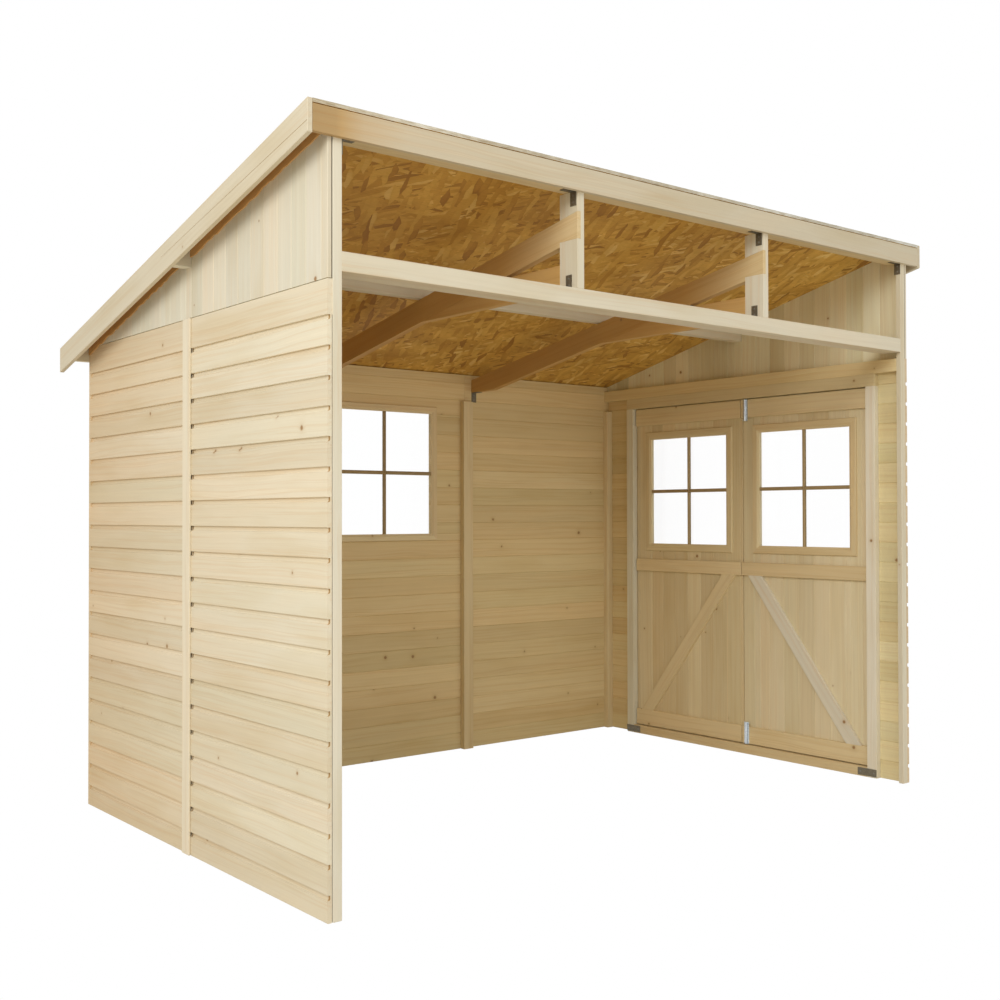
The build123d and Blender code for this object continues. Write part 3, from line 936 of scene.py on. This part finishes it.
def mitred_frame(bucket, place, runs, heights, width, depths):
    """A four-sided trim whose inner edge slopes down to the opening."""
    inner, outer = depths
    profile = (
        (0.0, outer), (0.0, inner + 0.6 * (outer - inner)), (TRIM_STEP, inner),
        (width - TRIM_EDGE, inner), (width, inner + 0.3 * (outer - inner)), (width, outer),
    )
    corners = (
        (runs[0], heights[0], -1, -1), (runs[1], heights[0], 1, -1),
        (runs[1], heights[1], 1, 1), (runs[0], heights[1], -1, 1),
    )
    for corner, following in zip(corners, corners[1:] + corners[:1]):
        rings = []
        for run, z, run_side, z_side in (corner, following):
            rings.append([place(run + run_side * w, d, z + z_side * w) for w, d in profile])
        bucket.add(rings, Vector(rings[1][0]) - Vector(rings[0][0]))


def window_pieces(name, node, body, place, opening, trim_width, trim_depths, bar_depths):
    """A window's trim and its crossed bars. The opening is its runs and its heights."""
    sash = Bucket()
    mitred_frame(sash, place, *opening, trim_width, trim_depths)
    bars = Bucket()
    glazing_bars(bars, place, *opening, *bar_depths)
    bars.build(f"{name}_bars", BAR_WOOD, body, "trim_timber")
    sash.build(f"{name}_sash", SASH_WOOD, body, "trim_timber", node)


# Door leaves. Each has a wood for its boards, a wood for its brace and the way that the brace leans.
LEAF_PLANK_LINE = -0.434
BRACE_FOOT = 0.08
LEAVES = (("front_door", LEAF_WOOD, FRAME_WOOD, 1), ("rear_door", DOOR_WOOD, SASH_WOOD, -1))


def leaf_planks(leaf, material):
    """A leaf's upright boards, cut round its window."""
    low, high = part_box(f"{leaf}_boards")
    pane_low, pane_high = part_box(f"{leaf}_window_pane")
    bucket = Bucket()
    for a, b in plank_spans(low.y, high.y, LEAF_PLANK_LINE):
        parts = [(a, b, low.z, high.z)]
        if a < pane_high.y and b > pane_low.y:
            parts = []
            if a < pane_low.y - TINY:
                parts.append((a, pane_low.y, low.z, high.z))
            if b > pane_high.y + TINY:
                parts.append((pane_high.y, b, low.z, high.z))
            cut = (max(a, pane_low.y), min(b, pane_high.y))
            parts += [(*cut, low.z, pane_low.z), (*cut, pane_high.z, high.z)]
        for y0, y1, z0, z1 in parts:
            rings = [[(high.x - depth, y, z) for y, depth in upright_outline(y0, y1)] for z in (z0, z1)]
            bucket.add(rings, UP)
    looks = {"outside": PLANK_WOOD, "outward": ALONG_X}
    bucket.build(f"{leaf}_planks", material, leaf, "vertical_boards", f"{leaf}_boards", **looks)


def leaf_window(leaf):
    boards_low, boards_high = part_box(f"{leaf}_boards")
    low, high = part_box(f"{leaf}_window_pane")
    trim_low, trim_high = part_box(f"{leaf}_window_frame")
    names = (leaf, f"{leaf}_window_frame", leaf)
    opening = ((low.y, high.y), (low.z, high.z))
    trim = (trim_high.y - high.y, (trim_low.x, trim_high.x))
    bars = ((boards_low.x - BAR_STAND_OFF, low.x), (high.x, boards_high.x - BAR_INSET))
    window_pieces(*names, in_side_wall, opening, *trim, bars)


def window_in_back_wall():
    low, high = back_window
    trim_low, trim_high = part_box("back_window_frame")
    names = ("back_window", "back_window_frame", "shed")
    opening = ((low.x, high.x), (low.z, high.z))
    trim = (trim_high.x - high.x, (trim_low.y, trim_high.y))
    bars = ((BOARD_Y - BAR_STAND_OFF, low.y), (high.y, BACK_Y - BAR_INSET))
    window_pieces(*names, in_back_wall, opening, *trim, bars)


def leaf_timbers(leaf, brace_wood, lean):
    softened(f"{leaf}_rails", f"{leaf}_ledges", SASH_WOOD, ALONG_Y)
    low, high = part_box(f"{leaf}_brace")
    along = (0, lean * ((high.y - low.y) - BRACE_FOOT), high.z - low.z)
    softened(f"{leaf}_brace", f"{leaf}_diagonal", brace_wood, along)


for leaf, board_wood, brace_wood, lean in LEAVES:
    leaf_planks(leaf, board_wood)
    leaf_window(leaf)
    leaf_timbers(leaf, brace_wood, lean)
window_in_back_wall()
for pane_node in ("back_window_pane", "front_door_window_pane", "rear_door_window_pane"):
    refinish(pane_node, GLASS)


# Frame timbers.
for node, name, material, along in (
    ("front_corner_posts", "corner_posts_front", FRAME_WOOD, UP),
    ("rear_corner_posts", "corner_posts_rear", SASH_WOOD, UP),
    ("wall_joint_studs", "joint_studs", SASH_WOOD, UP),
    ("door_frame_jambs", "door_jambs", JAMB_WOOD, UP),
    ("door_frame_head_and_sill", "door_head_and_sill", SASH_WOOD, ALONG_Y),
    ("side_wall_top_plates", "top_plates", INNER_WOOD, ALONG_Y),
    ("open_side_mid_beam", "mid_beam", FRAME_WOOD, ALONG_X),
    ("open_side_top_beam", "top_beam", SASH_WOOD, ALONG_X),
    ("short_posts", "post_blocks", FRAME_WOOD, UP),
    ("roof_purlins", "purlin_boards", FRAME_WOOD, ALONG_X),
):
    softened(node, name, material, along)

# The rafters get browner from their front ends inward, a painted shade for the dim light under the
# roof. Cuts across them carry the change.
RAFTER_DIRECTION = (0, 1, -0.18)
RAFTER_SHADE_START = FRONT_Y + 0.05
RAFTER_LIGHTEST = 0.92
RAFTER_DARKEST = 0.48
RAFTER_SHADE_FALL = 1.1
RAFTER_CUTS = [RAFTER_SHADE_START + 0.08 * i for i in range(7)]
# The ties are painted darker all along, also as painted shade under the roof.
TIE_PAINTED_SHADE = 0.5


def rafter_painted_shade(point):
    fall = (point.y - RAFTER_SHADE_START) * RAFTER_SHADE_FALL
    return max(RAFTER_DARKEST, min(RAFTER_LIGHTEST, RAFTER_LIGHTEST - fall))


for node, name, along, shade_and_tone_at in (
    ("rafters", "rafter_boards", RAFTER_DIRECTION, rafter_painted_shade),
    ("rafter_ties", "tie_boards", ALONG_Y, lambda point: TIE_PAINTED_SHADE),
):
    softened(node, name, SASH_WOOD, along, cuts=RAFTER_CUTS, shade_at=shade_and_tone_at)

softened("left_wall_joint_batten", "joint_batten", TRIM_WOOD, UP, TRIM_EASE)
softened("barge_boards", "barge_pair", EDGE_WOOD, DOWN_THE_ROOF, TRIM_EASE)


# Barge boards. Each has a fine crack, which shows as a dark sliver just proud of the outer face. A
# crack's ends are a place, a drop from the board's top and half its height there.
CRACK_DEPTH = 0.0004
CRACK_BACK = 0.004
barge_low, barge_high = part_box("barge_boards")
CRACK_ENDS = ((barge_low.y + 0.002, 0.068, 0.0009), (0.0, 0.043, 0.0002))


def barge_cracks():
    for vertex in bpy.data.objects["barge_pair"].data.vertices:
        if abs(vertex.co.x) > barge_high.x - WELD:
            vertex.co.x -= math.copysign(CRACK_DEPTH, vertex.co.x)
    bucket = Bucket()
    for side in (-1, 1):
        rings = []
        for y, drop, half in CRACK_ENDS:
            z = barge_high.z - (y - barge_low.y) * FALL - drop
            x0 = side * barge_high.x
            x1 = side * (barge_high.x - CRACK_BACK)
            rings.append([(x0, y, z - half), (x0, y, z + half), (x1, y, z + half), (x1, y, z - half)])
        bucket.add(rings, DOWN_THE_ROOF)
    bucket.build("barge_cracks", BAR_WOOD, "shed", "trim_timber")


# Packing strips between the barge boards and the gables, with a rough lower edge. Their dark
# orange-brown is partly the strip's own wood and partly painted shade under the barge boards.
PACKING_STEPS = 40
PACKING_END_GAP = 0.006
PACKING_TOP_GAP = 0.001
PACKING_INNER = 0.0002
PACKING_OUTER = 0.005
PACKING_DROP = (0.050, 0.058)
PACKING_TAPER = 0.005


def gable_packing():
    bucket = Bucket()
    in_front = (FRONT_Y + PACKING_END_GAP, PURLIN_FRONT)
    behind = (PURLIN_REAR, BACK_Y - PACKING_END_GAP)
    for side in (-1, 1):
        x0 = side * (HALF + PACKING_INNER)
        x1 = side * (HALF + PACKING_OUTER)
        for y0, y1 in (in_front, behind):
            rings = []
            for i in range(PACKING_STEPS + 1):
                y = y0 + (y1 - y0) * i / PACKING_STEPS
                top = under_roof(y) - PACKING_TOP_GAP
                low = under_roof(y) - rng.uniform(*PACKING_DROP) - PACKING_TAPER * i / PACKING_STEPS
                rings.append([(x0, y, low), (x0, y, top), (x1, y, top), (x1, y, low)])
            bucket.add(rings, DOWN_THE_ROOF)
    bucket.build("gable_packing", PACKING_AND_SHADE_WOOD, "shed", "strand_board")


# The fascia stands a little under the deck. Its left end is darker. Each tone is a distance from
# that end and a shade.
FASCIA_GAP = 0.003
FASCIA_TONES = ((0.0, 0.41), (0.08, 0.44), (0.18, 0.73), (0.34, 0.90), (0.8, 0.96), (3.2, 1.0))


def end_section(node, axis):
    """The corners of a straight node's section at its lower end, in order round the section."""
    points = [v.co for v in frame["nodes"][node].data.vertices]
    least = min(p[axis] for p in points)
    corners = {tuple(round(c, 5) for c in p) for p in points if p[axis] < least + 1e-4}
    middle = sum((Vector(c) for c in corners), Vector()) / len(corners)
    u, v = [i for i in range(3) if i != axis]
    return sorted(corners, key=lambda c: math.atan2(c[v] - middle[v], c[u] - middle[u]))


def fascia_board():
    low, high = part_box("roof_front_fascia")
    middle = (low.z + high.z) / 2
    corners = end_section("roof_front_fascia", 0)
    rings = []
    shades = []
    for run, shade in FASCIA_TONES:
        x = min(low.x + run, high.x)
        rings.append([(x, y, z - FASCIA_GAP * (z > middle)) for _, y, z in corners])
        shades.append([shade] * len(corners))
    bucket = Bucket()
    bucket.add(rings, ALONG_X, shades)
    bucket.build("fascia_board", EDGE_WOOD, "shed", "trim_timber", "roof_front_fascia")


barge_cracks()
gable_packing()
fascia_board()
for node, material in (
    ("roof_deck_front", STRANDS),
    ("roof_deck_rear", STRANDS),
    ("frame_brackets", ZINC_DARK),
    ("front_door_hinges", BLACK_STEEL),
    ("rear_door_hinges", BLACK_STEEL),
    ("door_frame_hinges", BLACK_STEEL),
    ("front_door_bolts", BRIGHT_ZINC),
):
    refinish(node, material)


# Screws. A head is a dome of rings, each a height and a share of the radius.
SCREW_RINGS = ((-0.0004, 1.0), (0.0006, 1.0), (0.0013, 0.72), (0.0015, 0.35))
SCREW_CORNERS = 10
SCREW_RADIUS = 0.0042
SCREW_SHARE_OF_FACE = 0.3
SCREW_SPACING = 0.065
SCREW_MARGIN = 0.026
LEAST_FACE = 7e-4
MOST_CORNERS = 8
CLEAR_START = 0.0004
CLEAR_REACH = 0.004


def tree_of_solids():
    """All CAD meshes in one tree for ray casts."""
    points = []
    faces = []
    for source in frame["nodes"].values():
        if getattr(source, "type", "") == "MESH":
            start = len(points)
            points += [v.co.copy() for v in source.data.vertices]
            faces += [tuple(start + i for i in polygon.vertices) for polygon in source.data.polygons]
    return BVHTree.FromPolygons(points, faces)


def screw(bucket, centre, normal, radius):
    """A domed screw head on a steel face."""
    a, b, c = directions(normal)
    rings = []
    for height, share in SCREW_RINGS:
        ring = []
        for i in range(SCREW_CORNERS):
            angle = 2 * math.pi * i / SCREW_CORNERS
            outward = b * math.cos(angle) + c * math.sin(angle)
            ring.append(centre + a * height + outward * radius * share)
        rings.append(ring)
    bucket.add(rings, normal)


def screws_on_face(bucket, face):
    """A row of screws along the middle of a face, unless another part lies against it."""
    edge = max(face.edges, key=lambda e: e.calc_length())
    length = edge.calc_length()
    width = face.calc_area() / length
    along = (edge.verts[1].co - edge.verts[0].co).normalized()
    centre = face.calc_center_median()
    hit = solids.ray_cast(centre + face.normal * CLEAR_START, face.normal, CLEAR_REACH)
    if hit[0] is not None:
        return
    count = max(2, int(length / SCREW_SPACING))
    for i in range(count):
        offset = (length - SCREW_MARGIN) * (i / (count - 1) - 0.5)
        radius = min(SCREW_RADIUS, SCREW_SHARE_OF_FACE * width)
        screw(bucket, centre + along * offset, face.normal, radius)


def fasten(node, name, material, slot):
    """Screws along every large free face of a steel node."""
    source = frame["nodes"][node]
    work = merged(source)
    bucket = Bucket()
    for face in work.faces:
        if face.calc_area() >= LEAST_FACE and len(face.verts) <= MOST_CORNERS:
            screws_on_face(bucket, face)
    work.free()
    if bucket.points:
        bucket.build(name, material, source["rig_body"], slot)


solids = tree_of_solids()
for node, name, material, slot in (
    ("frame_brackets", "bracket_screws", SCREW_STEEL, "bracket_steel"),
    ("front_door_hinges", "front_hinge_screws", BLACK_STEEL, "hinge_steel"),
    ("rear_door_hinges", "rear_hinge_screws", BLACK_STEEL, "hinge_steel"),
    ("door_frame_hinges", "frame_hinge_screws", BLACK_STEEL, "hinge_steel"),
    ("front_door_bolts", "bolt_screws", BRIGHT_ZINC, "bolt_steel"),
):
    fasten(node, name, material, slot)


# Studio. The floor and the sky look white where they are seen directly, in gloss or through glass,
# and light the shed less than that.
FLOOR_HALF = 30
FLOOR_DROP = 0.0005
FLOOR_COLOUR = (0.80, 0.73, 0.62)
SKY_LIGHT = 0.65
SKY_SEEN = 1.0


def seen_directly(tree):
    """1 on rays from the camera, from gloss and through glass, and 0 on others."""
    rays = add_node(tree, "LightPath", {})
    seen = rays.outputs["Is Camera Ray"]
    for kind in ("Is Transmission Ray", "Is Glossy Ray"):
        seen = math_node(tree, "MAXIMUM", seen, rays.outputs[kind])
    return seen


def floor_material():
    """White where it is seen, and pale to the light that falls on it."""
    material, tree, shader = new_material("stage_white")
    finish_shader(tree, shader, {"Base Color": FLOOR_COLOUR, "Roughness": 0.9})
    out = next(n for n in tree.nodes if n.type == "OUTPUT_MATERIAL")
    glow = add_node(tree, "Emission", {"Color": WHITE})
    inputs = {0: seen_directly(tree), 1: shader.outputs[0], 2: glow.outputs[0]}
    tree.links.new(add_node(tree, "MixShader", inputs).outputs[0], out.inputs[0])
    return material


def make_floor():
    signs = ((-1, -1), (1, -1), (1, 1), (-1, 1))
    corners = [(x * FLOOR_HALF, y * FLOOR_HALF, -FLOOR_DROP) for x, y in signs]
    mesh = bpy.data.meshes.new("floor")
    mesh.from_pydata(corners, [], [(0, 1, 2, 3)])
    mesh.materials.append(floor_material())
    new_object("floor", mesh)


def make_sky():
    world = bpy.data.worlds.new("studio")
    world.use_nodes = True
    tree = world.node_tree
    background = tree.nodes["Background"]
    strength = math_node(tree, "MULTIPLY_ADD", seen_directly(tree), SKY_SEEN - SKY_LIGHT, SKY_LIGHT)
    feed(tree, background.inputs["Strength"], strength)
    feed(tree, background.inputs["Color"], WHITE)
    bpy.context.scene.world = world


def area_light(name, place, target, size, power, colour=WHITE):
    data = bpy.data.lights.new(name, "AREA")
    data.shape = "RECTANGLE"
    data.size, data.size_y = size
    data.energy = power
    data.color = colour
    light = new_object(name, data)
    light.location = place
    light.rotation_euler = (Vector(target) - Vector(place)).to_track_quat("-Z", "Y").to_euler()


make_floor()
make_sky()
area_light("key", (-6.6, -4.4, 4.8), (0.0, -0.2, 1.0), size=(3.6, 3.0), power=268.0)
area_light(
    "fill", (1.5, -7.5, 1.8), (0.5, 0.5, 1.0), size=(5.0, 3.0), power=46.0, colour=(1.0, 0.98, 0.95)
)


# Camera, from a fit to points measured in the photograph. The focal length is in pixels.
CAMERA_PLACE = (-3.4083, -4.1964, 1.2145)
YAW = math.radians(38.84)
PITCH = math.radians(0.756)
ROLL = math.radians(-0.1123)
SENSOR_WIDTH = 36.0
FOCAL_LENGTH = 1218.2
PHOTO_WIDTH = 1000.0


def make_camera():
    data = bpy.data.cameras.new("camera")
    data.sensor_width = SENSOR_WIDTH
    data.lens = SENSOR_WIDTH * FOCAL_LENGTH / PHOTO_WIDTH
    reach = math.cos(PITCH)
    forward = Vector((math.sin(YAW) * reach, math.cos(YAW) * reach, math.sin(PITCH)))
    level_right = Vector((math.cos(YAW), -math.sin(YAW), 0.0))
    level_up = level_right.cross(forward)
    right = math.cos(ROLL) * level_right + math.sin(ROLL) * level_up
    up = -math.sin(ROLL) * level_right + math.cos(ROLL) * level_up
    turn = Matrix((right, up, -forward)).transposed()
    camera = new_object("camera", data)
    camera.matrix_world = Matrix.Translation(CAMERA_PLACE) @ turn.to_4x4()
    bpy.context.scene.camera = camera


make_camera()
bpy.context.scene.view_settings.view_transform = "Standard"
